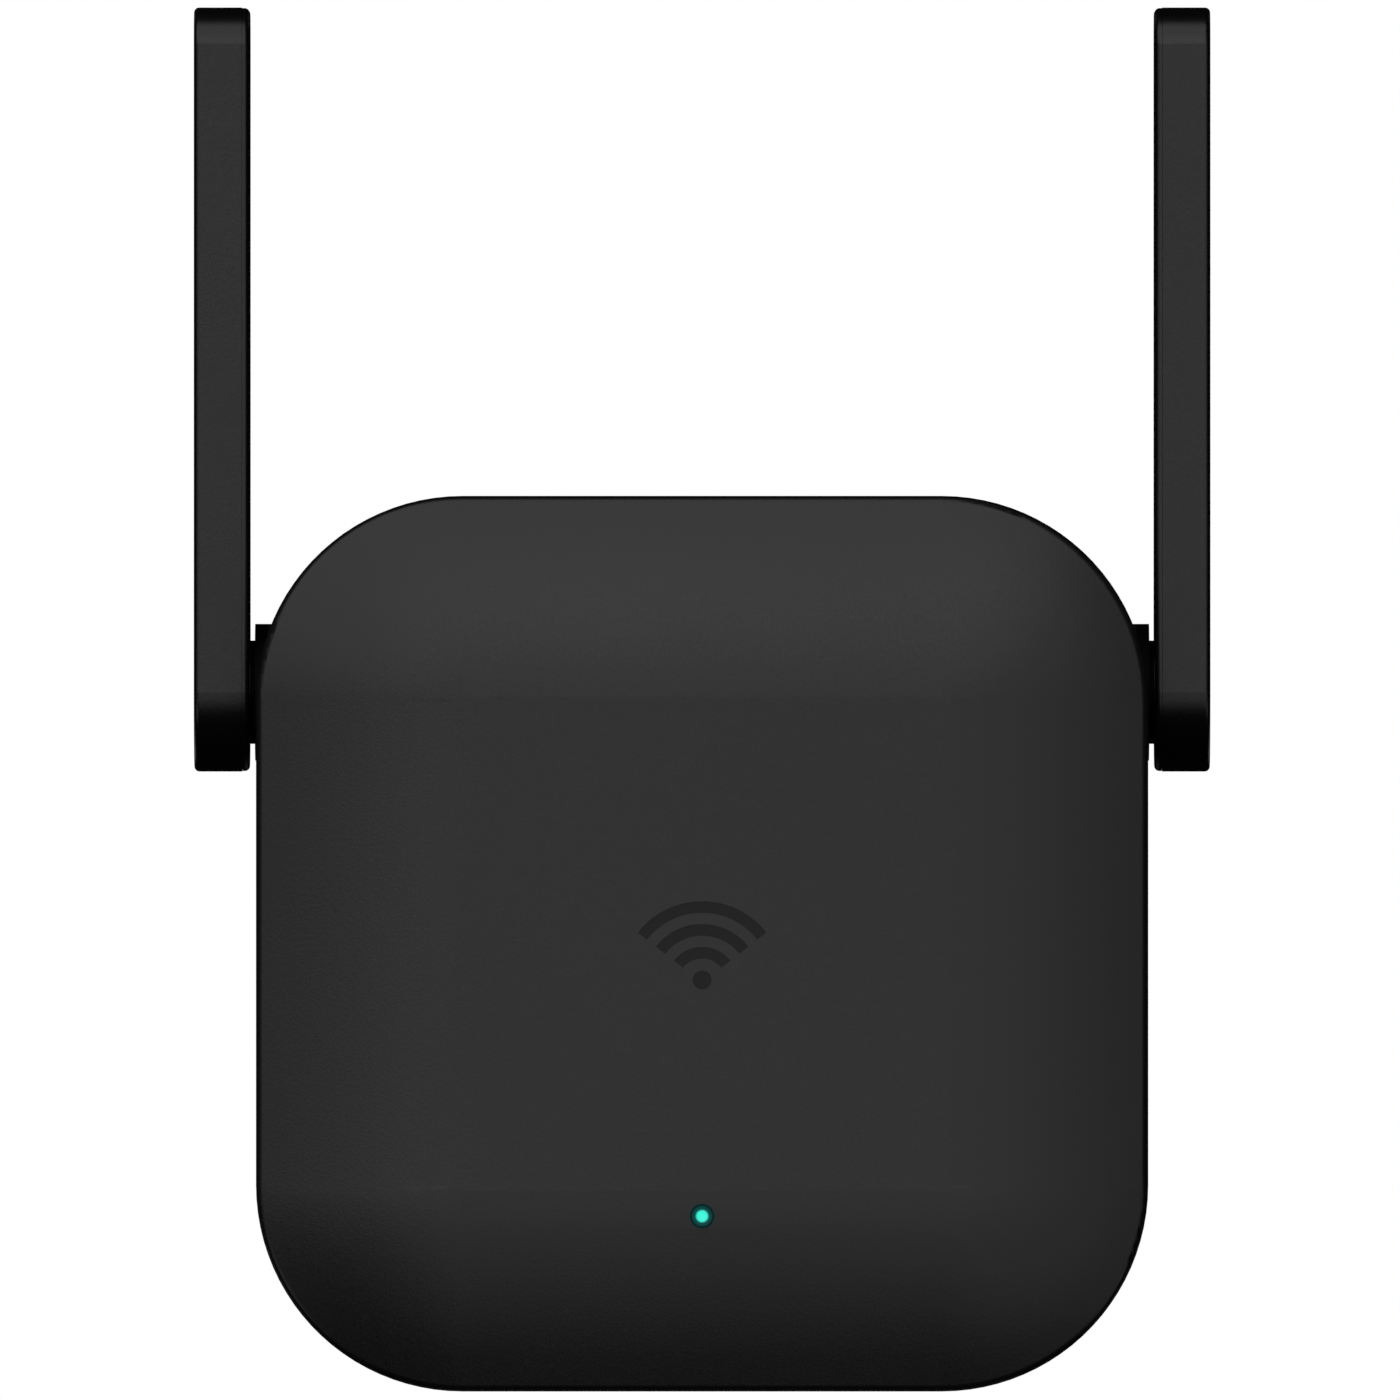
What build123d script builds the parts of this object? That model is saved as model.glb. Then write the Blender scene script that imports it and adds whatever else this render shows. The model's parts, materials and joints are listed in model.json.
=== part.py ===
"""Plug-in wireless range extender: a crowned square body with two folding blade antennas.

Frame: +Z up, the crowned face looks along -Y, the mains pins point along +Y.
Origin: centre of the plug's engagement face, the plane that meets the wall socket.
Units are millimetres.
"""

import math
import os

from build123d import *

os.makedirs("parts", exist_ok=True)

# ---------------------------------------------------------------- driving dimensions
BODY_W = 80.0  # body width, X
BODY_H = 80.3  # body height, Z
BODY_D = 30.0  # body depth without the plug, Y
CORNER_R = 18.5  # corner radius of the square outline
WALL = 2.0  # shell wall
CROWN_R = 71.0  # radius of the crowned rim of the front face
CROWN_START = 0.5  # flat margin before the crown begins
EDGE_R = 0.75  # fillet between the crown and the side wall
BACK_EDGE_R = 3.0  # fillet round the back face
REVEAL = 0.2  # chamfer on each cover at the parting plane

PLUG_RAISE = 16.0  # how far the plug base stands off the back
PLUG_HALF_W, PLUG_HALF_H, PLUG_BEVEL = 17.65, 6.85, 4.6  # outline at the engagement face
PLUG_GAP = 0.35  # clearance of the opening round the plug outline
PLUG_WALL = 1.95
PIN_PITCH = 18.6  # pin spacing at the engagement face
PIN_TIP_PITCH = 17.5  # pin spacing at the tips
PIN_LEN = 19.0
PIN_R, PIN_CORE_R, SLEEVE_R = 2.0, 1.5, 1.84
SLEEVE_LEN = 10.0
PIN_TILT = math.atan((PIN_PITCH - PIN_TIP_PITCH) / 2 / PIN_LEN)

Y_BACK = -PLUG_RAISE  # outside of the back face
Y_BACK_IN = Y_BACK - WALL  # inside of the back wall
Y_FRONT = Y_BACK - BODY_D  # foremost point of the crown
Y_SPLIT = -32.0  # parting plane of the two covers
Y_ROOT = Y_FRONT + WALL - 0.3  # where ribs and pillars start, sunk in the front wall

HINGE_Y, HINGE_Z = -24.0, 22.55  # antenna pivot axis, along X
HINGE = (HINGE_Y, HINGE_Z)
HINGE_AXIS = Axis((0, HINGE_Y, HINGE_Z), (1, 0, 0))
BOSS_R = 6.15  # hinge boss on the rear cover
BOSS_OUT_X = 40.22  # outer end of the boss, just proud of the side
BOSS_IN_X = 34.0  # inner end of the boss
JOURNAL_R, HINGE_BORE_R = 3.46, 3.50
STUB_R = 4.65  # collar between blade and boss
BARREL_END_X = 31.8
GROOVE_R, GROOVE_OUT_X, GROOVE_IN_X = 2.95, 33.3, 32.7

BLADE_IN_X, BLADE_OUT_X = 40.69, 45.69  # inner and outer faces of a blade
BLADE_R = 7.14  # half the blade's width, and its round lower end
BLADE_TOP_Z = 84.13
BLADE_TOP_R = 3.3
BLADE_EDGE_R = 0.46  # rounding along the blade's inner and outer faces
COVER_T = 0.7  # inner cover plate of a blade
BLADE_WALL = 1.2
SEAM_X = BLADE_IN_X + COVER_T  # joint between blade shell and cover plate
COVER_GAP = 0.03  # play between cover plate and shell

HOOK_X = 12.0  # snap hooks at the top and bottom, either side of the middle
HOOK_SPOTS_Z = [(0, 8.0), (0, -14.0)]  # snap hooks on both side walls
HOOK_SPOTS_X = [(HOOK_X, 0), (-HOOK_X, 0)]
HOOK_W, CATCH_W = 7.0, 8.0

LABEL_SPOT = (0, -22.0)
LABEL_W, LABEL_H = 46.0, 19.0  # seat of the rating label
MARK_Z = -3.5  # centre of the signal mark's rings

LED_SPOT = (0, -24.4)
LED_HOLE_R = 1.1

POST_R, PILOT_R = 2.6, 0.98  # screw pillars and the holes in them
SCREW_CLEAR_R = 1.15  # screw holes in the boards

WIFI_Y, WIFI_T = -38.0, 1.0  # front face and thickness of the wireless board
WIFI_BACK_Y = WIFI_Y + WIFI_T
WIFI_W, WIFI_H, WIFI_R = 62.0, 66.0, 6.0
WIFI_SCREWS = [(26.0, 27.5), (-26.0, 27.5), (26.0, -27.5), (-26.0, -27.5)]
WIFI_CHIP_SPOT = (0, 10)
CRYSTAL_SPOT = (17, 11)
RF_JOINT_X, RF_JOINT_Z = 23.5, 10.6

POWER_Y, POWER_T = -22.8, 1.5  # front face and thickness of the power board
POWER_BACK_Y = POWER_Y + POWER_T
POWER_W, POWER_TOP, POWER_BOTTOM = 58.0, 13.0, -33.0
POWER_SCREWS = [(25.5, 9.6), (-25.5, 9.6), (25.5, -29.4), (-25.5, -29.4)]
TAIL_X = PIN_PITCH / 2 - (POWER_Y + POWER_T / 2) * math.tan(PIN_TILT)  # pin tail in the board

TRANSFORMER_SPOT = (0, -14)
INPUT_CANS = [(-21.5, -7.5), (-21.5, -18.5)]
OUTPUT_CAN = (20.0, -17)
CAN_R, CAN_LEAD_X = 4.0, 1.75  # can radius, lead offset from its axis
CHOKE_X, CHOKE_Z = 21, -6
FUSE_X, FUSE_Y, FUSE_Z = -17.5, -25.0, 4  # centre of the fuse resistor
FUSE_LEAD_X = 5.1  # lead offset from that centre
DISC_LEADS = [(13.0, -7.6), (13.0, -2.6)]
LEAD_R, LEAD_HOLE_R = 0.3, 0.42

LINK_SPOT = (0, -29)  # header between the two boards
LINK_GRID = (2.54, 1, 4, 1)
LINK_HOLE_R = 0.5
HEADER_T = 2.5

RESET_X, RESET_Y = 16.0, -35.5
SWITCH_Z = -32.6  # bottom of the reset switch's case


# ---------------------------------------------------------------- shared helpers
def depth(y):
    """Workplane at depth y: local x is X, local y is Z, positive extrudes go to the front."""
    return Plane.XZ.offset(-y)


def side(x):
    """Workplane at width x: local x is Y and local y is Z, positive extrudes go to +X."""
    return Plane.YZ.offset(x)


def y_axis(x, z):
    """Axis along Y through (x, z)."""
    return Axis((x, 0, z), (0, 1, 0))


def front_edges(piece):
    """Edges of the foremost face."""
    return piece.faces().sort_by(Axis.Y)[0].edges()


def back_edges(piece):
    """Edges of the rearmost face."""
    return piece.faces().sort_by(Axis.Y)[-1].edges()


def polygon(points, shift=0.0, mode=Mode.ADD):
    """Closed polygon in the current sketch, shifted along local x."""
    with BuildLine() as line:
        Polyline(*[(x + shift, y) for x, y in points], close=True)
    make_face(line.edges(), mode=mode)


def bevelled(half_w, half_h, bevel):
    """Rectangle with 45-degree corners: the plug's outline."""
    flat_x, flat_z = half_w - bevel, half_h - bevel
    polygon([
        (flat_x, half_h), (half_w, flat_z), (half_w, -flat_z), (flat_x, -half_h),
        (-flat_x, -half_h), (-half_w, -flat_z), (-half_w, flat_z), (-flat_x, half_h),
    ])


def body_outline(inset=0.0, mode=Mode.ADD):
    """Rounded square outline of the body, drawn in by inset."""
    RectangleRounded(BODY_W - 2 * inset, BODY_H - 2 * inset, CORNER_R - inset, mode=mode)


def save(name, part):
    """Label a piece and write its STEP file."""
    part.label = name
    export_step(part, f"parts/{name}.step")


def save_pair(name, part):
    """Save a left-hand piece and its mirror image."""
    save(f"{name}_left", part)
    with BuildPart() as other:
        mirror(part, about=Plane.YZ)
    save(f"{name}_right", other.part)


# ---------------------------------------------------------------- crowned block
def rim_section(place, corner, y_front, y_back, crown_r, edge_r):
    """Rim's section: flat start, crown arc, edge fillet, side wall.

    place maps (reach, depth) to the sketch.
    """
    reach = corner - edge_r - CROWN_START
    fillet_y = y_front + crown_r - math.sqrt((crown_r - edge_r) ** 2 - reach**2)
    tilt = math.atan2(reach, y_front + crown_r - fillet_y)
    half = (tilt + math.pi / 2) / 2

    def on_crown(angle):
        rise = crown_r * (1 - math.cos(angle))
        return place(CROWN_START + crown_r * math.sin(angle), y_front + rise)

    def on_fillet(angle):
        out = edge_r * math.sin(angle)
        return place(corner - edge_r + out, fillet_y - edge_r * math.cos(angle))

    with BuildLine() as rim:
        Line(place(0, y_front), place(CROWN_START, y_front))
        ThreePointArc(place(CROWN_START, y_front), on_crown(tilt / 2), on_crown(tilt))
        ThreePointArc(on_crown(tilt), on_fillet(half), place(corner, fillet_y))
        Polyline(
            place(corner, fillet_y), place(corner, y_back), place(0, y_back), place(0, y_front)
        )
    make_face(rim.edges())


def crowned_block(width, height, corner, y_front, y_back, crown_r, edge_r):
    """Rounded square block whose front face is flat in the middle, crowned towards the rim."""
    centre_x, centre_z = width / 2 - corner, height / 2 - corner
    shape = (corner, y_front, y_back, crown_r, edge_r)
    with BuildPart() as block:
        # one corner, then its mirror images
        with BuildSketch(Plane.XY.offset(centre_z)):
            rim_section(lambda reach, y: (centre_x + reach, y), *shape)
        revolve(axis=Axis((centre_x, 0, centre_z), (0, -1, 0)), revolution_arc=90)
        mirror(about=Plane.YZ)
        mirror(about=Plane.XY)
        # straight rims between the corners
        for sign in (1, -1):
            with BuildSketch(Plane.XY.offset(-centre_z)):
                rim_section(lambda reach, y: (sign * (centre_x + reach), y), *shape)
            extrude(amount=2 * centre_z)
            with BuildSketch(Plane.YZ.offset(-centre_x)):
                rim_section(lambda reach, y: (y, sign * (centre_z + reach)), *shape)
            extrude(amount=2 * centre_x)
        with BuildSketch(depth(y_front)):
            Rectangle(2 * centre_x, 2 * centre_z)
        extrude(amount=-(y_back - y_front))
    return block.part


# ---------------------------------------------------------------- enclosure
crown_outer = crowned_block(BODY_W, BODY_H, CORNER_R, Y_FRONT, Y_SPLIT, CROWN_R, EDGE_R)
crown_inner = crowned_block(
    width=BODY_W - 2 * WALL,
    height=BODY_H - 2 * WALL,
    corner=CORNER_R - WALL,
    y_front=Y_FRONT + WALL,
    y_back=Y_SPLIT + 1,
    crown_r=CROWN_R - WALL,
    edge_r=0.8,
)

TONGUE_Y = -35.0  # front end of the tongue
TONGUE_IN = 3.1  # inset of the tongue's inner face

with BuildPart() as front_cover:
    add(crown_outer)
    add(crown_inner, mode=Mode.SUBTRACT)
    # hairline reveal at the parting plane
    rim_face = front_cover.faces().filter_by(Plane.XZ).sort_by(Axis.Y)[-1]
    chamfer(rim_face.outer_wire().edges(), REVEAL)
    # tongue that centres the rear cover
    with BuildSketch(depth(TONGUE_Y)):
        body_outline(1.9)
        body_outline(TONGUE_IN, mode=Mode.SUBTRACT)
    extrude(amount=-(Y_SPLIT - TONGUE_Y))
    with BuildSketch(depth(Y_SPLIT)):
        body_outline(2.1)
        body_outline(TONGUE_IN, mode=Mode.SUBTRACT)
    extrude(amount=-1.7)
    # snap hooks on the tongue
    with BuildSketch(depth(-31.3)):
        with Locations(*HOOK_SPOTS_X):
            Rectangle(HOOK_W, BODY_H - 3.3)
            Rectangle(HOOK_W + 0.1, BODY_H - 5.0, mode=Mode.SUBTRACT)
        with Locations(*HOOK_SPOTS_Z):
            Rectangle(BODY_W - 3.3, HOOK_W)
            Rectangle(BODY_W - 5.0, HOOK_W + 0.1, mode=Mode.SUBTRACT)
    extrude(amount=-0.8)
    # stiffening ribs behind the face
    with BuildSketch(depth(Y_ROOT)):
        with Locations((-15, 0), (15, 0)):
            Rectangle(1.0, 56)
        with Locations((0, -15.5), (0, 27)):
            Rectangle(56, 1.0)
    extrude(amount=-1.5)
    # pillars for the wireless board
    with BuildSketch(depth(Y_ROOT)):
        with Locations(*WIFI_SCREWS):
            Circle(POST_R)
    extrude(amount=-(WIFI_Y - Y_ROOT))
    # socket for the light pipe: boss, hole through the face, wider bore behind it
    with BuildSketch(depth(Y_ROOT)):
        with Locations(LED_SPOT):
            Circle(2.7)
    extrude(amount=-2.6)
    for start_y, radius in ((Y_FRONT - 1, LED_HOLE_R), (Y_FRONT + 1.4, 1.62)):
        with BuildSketch(depth(start_y)):
            with Locations(LED_SPOT):
                Circle(radius)
        extrude(amount=-8.0, mode=Mode.SUBTRACT)
    # screw holes in the pillars
    with BuildSketch(depth(WIFI_Y)):
        with Locations(*WIFI_SCREWS):
            Circle(PILOT_R)
    extrude(amount=5.2, mode=Mode.SUBTRACT)
    # gap in the tongue at the reset button, and the hole through the lower wall
    with BuildSketch(Plane.XY.offset(-BODY_H / 2 + 3.5)):
        with Locations((RESET_X, RESET_Y + 2.5)):
            Rectangle(8.0, 6.6)
    extrude(amount=-1.55, mode=Mode.SUBTRACT)
    with BuildSketch(Plane.XY.offset(-BODY_H / 2 - 1)):
        with Locations((RESET_X, RESET_Y)):
            Circle(1.0)
    extrude(amount=6, mode=Mode.SUBTRACT)
    # signal mark: a dot under three quarter-ring arcs, 0.15 deep
    with BuildSketch(depth(Y_FRONT - 1)):
        with Locations((0, MARK_Z)):
            for ring_r in (6.8, 4.75, 2.7):
                Circle(ring_r + 0.52)
                Circle(ring_r - 0.52, mode=Mode.SUBTRACT)
        polygon([(0, MARK_Z), (-12.3, 6.11), (12.3, 6.11)], mode=Mode.INTERSECT)
        with Locations((0, MARK_Z + 0.25)):
            Circle(0.85)
    extrude(amount=-1.15, mode=Mode.SUBTRACT)
save("front_cover", front_cover.part)

with BuildPart() as rear_cover:
    with BuildSketch(depth(Y_SPLIT)):
        body_outline()
    extrude(amount=-(Y_BACK - Y_SPLIT))
    fillet(back_edges(rear_cover), BACK_EDGE_R)
    chamfer(front_edges(rear_cover), REVEAL)
    # hinge bosses, standing out of the rounded corners
    for sign in (-1, 1):
        with BuildSketch(side(sign * BOSS_OUT_X)):
            with Locations(HINGE):
                Circle(BOSS_R)
        extrude(amount=-sign * 6.0)
    # inside
    with BuildPart(mode=Mode.PRIVATE) as hollow:
        with BuildSketch(depth(Y_SPLIT - 1)):
            body_outline(WALL)
        extrude(amount=-(Y_BACK_IN - Y_SPLIT + 1))
        fillet(back_edges(hollow), 1.2)
    add(hollow.part, mode=Mode.SUBTRACT)
    # inner ends of the bosses, then the bore through both
    for sign in (-1, 1):
        with BuildSketch(side(sign * (BODY_W / 2 - 1))):
            with Locations(HINGE):
                Circle(BOSS_R)
        extrude(amount=-sign * (BODY_W / 2 - 1 - BOSS_IN_X))
    with BuildSketch(side(-BODY_W / 2 - 1)):
        with Locations(HINGE):
            Circle(HINGE_BORE_R)
    extrude(amount=BODY_W + 2, mode=Mode.SUBTRACT)
    # catches for the snap hooks
    with BuildSketch(depth(-31.45)):
        with Locations(*HOOK_SPOTS_X):
            Rectangle(CATCH_W, BODY_H - 3.0)
        with Locations(*HOOK_SPOTS_Z):
            Rectangle(BODY_W - 3.0, CATCH_W)
    extrude(amount=-1.1, mode=Mode.SUBTRACT)
    # cooling slots through the top and bottom walls
    with BuildSketch(Plane.XY.offset(-BODY_H / 2 - 1)):
        with Locations((0, -24.2)):
            with GridLocations(3.0, 1, 13, 1):
                SlotOverall(8.0, 1.3, rotation=90)
    extrude(amount=BODY_H + 2, mode=Mode.SUBTRACT)
    # pillars for the power board, with screw holes
    with BuildSketch(depth(POWER_BACK_Y)):
        with Locations(*POWER_SCREWS):
            Circle(POST_R)
    extrude(amount=-(Y_BACK_IN - POWER_BACK_Y + 0.3))
    with BuildSketch(depth(POWER_BACK_Y)):
        with Locations(*POWER_SCREWS):
            Circle(PILOT_R)
    extrude(amount=-3.6, mode=Mode.SUBTRACT)
    # opening for the plug base
    with BuildSketch(depth(Y_BACK + 1)):
        bevelled(PLUG_HALF_W + PLUG_GAP, PLUG_HALF_H + PLUG_GAP, PLUG_BEVEL)
    extrude(amount=WALL + 2, mode=Mode.SUBTRACT)
    # shallow seat for the rating label
    with BuildSketch(depth(Y_BACK)):
        with Locations(LABEL_SPOT):
            RectangleRounded(LABEL_W, LABEL_H, 1.5)
    extrude(amount=0.25, mode=Mode.SUBTRACT)
save("rear_cover", rear_cover.part)

with BuildPart() as rating_label:
    with BuildSketch(depth(Y_BACK - 0.05)):
        with Locations(LABEL_SPOT):
            RectangleRounded(LABEL_W - 0.6, LABEL_H - 0.6, 1.3)
    extrude(amount=0.18)
save("rating_label", rating_label.part)


# ---------------------------------------------------------------- plug
def pin_plane(sign):
    """Plane holding one pin's axis: local x runs out along the pin from the engagement face."""
    return Plane(
        origin=(sign * PIN_PITCH / 2, 0, 0),
        x_dir=(-sign * math.sin(PIN_TILT), math.cos(PIN_TILT), 0),
        z_dir=(0, 0, 1),
    )


def pin_axis(sign):
    """Axis of one pin."""
    plane = pin_plane(sign)
    return Axis(plane.origin, plane.x_dir)


# Sections about a pin's axis: (distance out from the engagement face, radius)
PIN_BORE = [(1, 0), (1, 2.0), (-3.05, 2.0), (-3.05, 1.55), (-20, 1.55), (-20, 0)]
SLEEVE = [
    (-3.0, PIN_CORE_R + 0.02), (-3.0, SLEEVE_R), (SLEEVE_LEN - 0.1, SLEEVE_R),
    (SLEEVE_LEN, SLEEVE_R - 0.1), (SLEEVE_LEN, PIN_CORE_R + 0.02),
]
PIN_TAIL_END = (-24.2, 0)
PIN_SHAFT = [
    PIN_TAIL_END, (-24.2, 0.6), (-23.9, 0.9), (-19.2, 0.9),  # solder tail
    (-19.2, 2.6), (-17.7, 2.6), (-17.7, PIN_CORE_R),  # collar
    (10.1, PIN_CORE_R), (10.1, PIN_R - 0.1), (10.2, PIN_R),  # core and step to the bare tip
    (PIN_LEN - PIN_R, PIN_R),
]

with BuildPart() as plug_base:
    with BuildSketch(depth(0)):
        bevelled(PLUG_HALF_W, PLUG_HALF_H, PLUG_BEVEL)
    extrude(amount=PLUG_RAISE + 3.4, taper=-0.8)
    upright = plug_base.edges().filter_by(lambda e: abs((e % 0.5).Y) > 0.9)
    fillet(upright, 1.6)
    fillet(back_edges(plug_base), 0.8)
    # flange inside the rear cover's back wall
    with BuildSketch(depth(Y_BACK_IN - 1.5)):
        RectangleRounded(41.0, 19.5, 3.0)
    extrude(amount=-1.45)
    # hollow, with a boss round each pin and a web between them
    with BuildSketch(depth(-20)):
        bevelled(PLUG_HALF_W - PLUG_WALL, PLUG_HALF_H - PLUG_WALL, 3.6)
    extrude(amount=-17.6, mode=Mode.SUBTRACT)
    with BuildSketch(depth(-17.5)):
        with Locations((9.65, 0), (-9.65, 0)):
            Circle(4.3)
    extrude(amount=-16.0)
    with BuildSketch(depth(-17.5)):
        Rectangle(12.0, 1.4)
    extrude(amount=-16.0)
    for sign in (1, -1):
        with BuildSketch(pin_plane(sign)):
            polygon(PIN_BORE)
        revolve(axis=pin_axis(sign), mode=Mode.SUBTRACT)
save("plug_base", plug_base.part)


def build_pin(sign):
    """Mains pin: round-ended tip, core inside the sleeve, collar and solder tail."""
    with BuildPart() as pin:
        with BuildSketch(pin_plane(sign)):
            with BuildLine():
                Polyline(*PIN_SHAFT)
                ThreePointArc(
                    (PIN_LEN - PIN_R, PIN_R),
                    (PIN_LEN - PIN_R * (1 - math.sqrt(0.5)), PIN_R * math.sqrt(0.5)),
                    (PIN_LEN, 0),
                )
                Line((PIN_LEN, 0), PIN_TAIL_END)
            make_face()
        revolve(axis=pin_axis(sign))
    return pin.part


save("plug_pin_right", build_pin(1))
save("plug_pin_left", build_pin(-1))

with BuildPart() as pin_sleeves:
    for sign in (1, -1):
        with BuildSketch(pin_plane(sign)):
            polygon(SLEEVE)
        revolve(axis=pin_axis(sign))
save("pin_sleeves", pin_sleeves.part)

# ---------------------------------------------------------------- indicator and reset
# Half section of the light pipe: (radius, depth Y)
LIGHT_PIPE = [
    (0, -45.78), (0.9, -45.84), (1.05, -45.72), (1.05, -44.5), (1.55, -44.5), (1.55, -41.6),
    (2.3, -41.6), (2.3, -40.6), (1.5, -40.6), (1.35, -39.0), (0, -39.0),
]
# Half section of the reset button: (radius, height Z)
RESET_BUTTON = [
    (0, -39.5), (0.75, -39.5), (0.95, -39.3), (0.95, -37.9), (1.8, -37.9), (1.8, -37.2),
    (0.8, -37.2), (0.8, -34.35), (0, -34.35),
]

with BuildPart() as light_pipe:
    with BuildSketch(Plane.XY.offset(LED_SPOT[1])):
        polygon(LIGHT_PIPE)
    revolve(axis=y_axis(*LED_SPOT))
save("light_pipe", light_pipe.part)

with BuildPart() as status_led:
    with BuildSketch(depth(WIFI_Y - 0.02)):
        with Locations(LED_SPOT):
            Rectangle(1.6, 0.8)
    extrude(amount=0.3)
    # tapered lens
    with BuildSketch(depth(WIFI_Y - 0.32)):
        with Locations(LED_SPOT):
            Rectangle(1.1, 0.8)
    extrude(amount=0.35, taper=6)
save("status_led", status_led.part)

with BuildPart() as reset_button:
    with BuildSketch(depth(RESET_Y)):
        polygon(RESET_BUTTON, shift=RESET_X)
    revolve(axis=Axis((RESET_X, RESET_Y, 0), (0, 0, 1)))
save("reset_button", reset_button.part)

with BuildPart() as reset_switch:
    with BuildSketch(Plane.XY.offset(SWITCH_Z)):
        with Locations((RESET_X, RESET_Y)):
            Rectangle(4.5, 2.9)
    extrude(amount=3.4)
    # well for the stem
    with BuildSketch(Plane.XY.offset(SWITCH_Z)):
        with Locations((RESET_X, RESET_Y)):
            Rectangle(2.2, 1.3)
    extrude(amount=1.6, mode=Mode.SUBTRACT)
    # solder tabs
    with BuildSketch(depth(WIFI_BACK_Y + 0.02)):
        with Locations((RESET_X - 2.9, -30.9), (RESET_X + 2.9, -30.9)):
            Rectangle(1.4, 1.0)
    extrude(amount=-0.3)
save("reset_switch", reset_switch.part)

with BuildPart() as reset_switch_stem:
    with BuildSketch(Plane.XY.offset(-34.3)):
        with Locations((RESET_X, RESET_Y)):
            Rectangle(2.0, 1.1)
    extrude(amount=2.6)
    fillet(reset_switch_stem.faces().sort_by(Axis.Z)[0].edges(), 0.2)
save("reset_switch_stem", reset_switch_stem.part)


# ---------------------------------------------------------------- parts used on both boards
def build_package(board_y, spot, body, lift, height, bevel, lead, lead_grid, lead_t):
    """Moulded package with flat leads, standing on the front of a board."""
    with BuildPart() as package:
        with BuildSketch(depth(board_y - lift)):
            with Locations(spot):
                Rectangle(*body)
        extrude(amount=height)
        chamfer(front_edges(package), bevel)
        with BuildSketch(depth(board_y - 0.02)):
            with Locations(spot):
                with GridLocations(*lead_grid):
                    Rectangle(*lead)
        extrude(amount=lead_t)
    return package.part


def build_eight_lead_chip(board_y, spot):
    """Small chip with four leads on each side."""
    return build_package(
        board_y, spot, body=(3.9, 4.9), lift=0.2, height=1.3, bevel=0.2,
        lead=(6.0, 0.42), lead_grid=(0, 1.27, 1, 4), lead_t=0.5,
    )


def build_screws(spots, seat_y, way, shank):
    """Pan-head cross-recess screws with ridged shanks.

    The head seats at depth seat_y; the shank runs along +Y if way is 1, -Y if way is -1.
    """
    root_r, ridge_r, ridge_pitch = 0.72, 0.93, 0.6
    # (radius, distance from the seat along the shank)
    section = [(0, -1.2), (1.2, -1.2), (1.8, -0.7), (1.9, 0), (root_r, 0)]
    for i in range(int((shank - 0.8) / ridge_pitch)):
        start = 0.3 + i * ridge_pitch
        section += [
            (root_r, start), (ridge_r, start + 0.24),
            (ridge_r, start + 0.32), (root_r, start + 0.55),
        ]
    section += [(root_r, shank - 0.5), (0.2, shank), (0, shank)]
    with BuildPart() as screws:
        for x, z in spots:
            with BuildSketch(Plane.XY.offset(z)):
                polygon([(radius, seat_y + way * along) for radius, along in section], shift=x)
            revolve(axis=y_axis(x, z))
            with BuildSketch(depth(seat_y - way * 1.3)):
                with Locations((x, z)):
                    Rectangle(2.0, 0.45)
                    Rectangle(0.45, 2.0)
            extrude(amount=-way * 0.85, mode=Mode.SUBTRACT)
    return screws.part


# ---------------------------------------------------------------- wireless board
with BuildPart() as wifi_board:
    with BuildSketch(depth(WIFI_Y)):
        RectangleRounded(WIFI_W, WIFI_H, WIFI_R)
        with Locations(*WIFI_SCREWS):
            Circle(SCREW_CLEAR_R, mode=Mode.SUBTRACT)
        with Locations((RESET_X, -WIFI_H / 2)):
            Rectangle(5.2, 0.6, mode=Mode.SUBTRACT)
        with Locations(LINK_SPOT):
            with GridLocations(*LINK_GRID):
                Circle(LINK_HOLE_R, mode=Mode.SUBTRACT)
    extrude(amount=-WIFI_T)
save("wifi_board", wifi_board.part)

with BuildPart() as wifi_chip:
    with BuildSketch(depth(WIFI_Y - 0.05)):
        with Locations(WIFI_CHIP_SPOT):
            Rectangle(9, 9)
    extrude(amount=0.85)
    chamfer(front_edges(wifi_chip), 0.15)
    # round dimple in one corner of the front
    with BuildSketch(depth(WIFI_Y - 0.9)):
        with Locations((-3.3, 13.3)):
            Circle(0.35)
    extrude(amount=-0.08, mode=Mode.SUBTRACT)
save("wifi_chip", wifi_chip.part)

with BuildPart() as thermal_pad:
    with BuildSketch(depth(WIFI_Y - 0.92)):
        with Locations(WIFI_CHIP_SPOT):
            RectangleRounded(8, 8, 0.5)
    extrude(amount=1.2)
save("thermal_pad", thermal_pad.part)

save("flash_chip", build_eight_lead_chip(WIFI_Y, (0, -2.5)))

with BuildPart() as shield_can:
    with BuildSketch(depth(WIFI_Y - 0.03)):
        with Locations((0, 5)):
            RectangleRounded(24, 22, 1.0)
    extrude(amount=2.4)
    fillet(front_edges(shield_can), 0.4)
    with BuildSketch(depth(WIFI_Y)):
        with Locations((0, 5)):
            RectangleRounded(23.5, 21.5, 0.75)
    extrude(amount=2.17, mode=Mode.SUBTRACT)
    # grid of round holes in the lid
    with BuildSketch(depth(WIFI_Y - 3)):
        with Locations((0, -1.0)):
            with GridLocations(2.2, 2.2, 9, 3):
                Circle(0.5)
    extrude(amount=-3.2, mode=Mode.SUBTRACT)
save("shield_can", shield_can.part)

with BuildPart() as crystal:
    with BuildSketch(depth(WIFI_Y - 0.03)):
        with Locations(CRYSTAL_SPOT):
            RectangleRounded(3.2, 2.5, 0.3)
    extrude(amount=0.5)
    with BuildSketch(depth(WIFI_Y - 0.53)):
        with Locations(CRYSTAL_SPOT):
            RectangleRounded(2.9, 2.2, 0.3)
    extrude(amount=0.25)
save("crystal", crystal.part)

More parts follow.
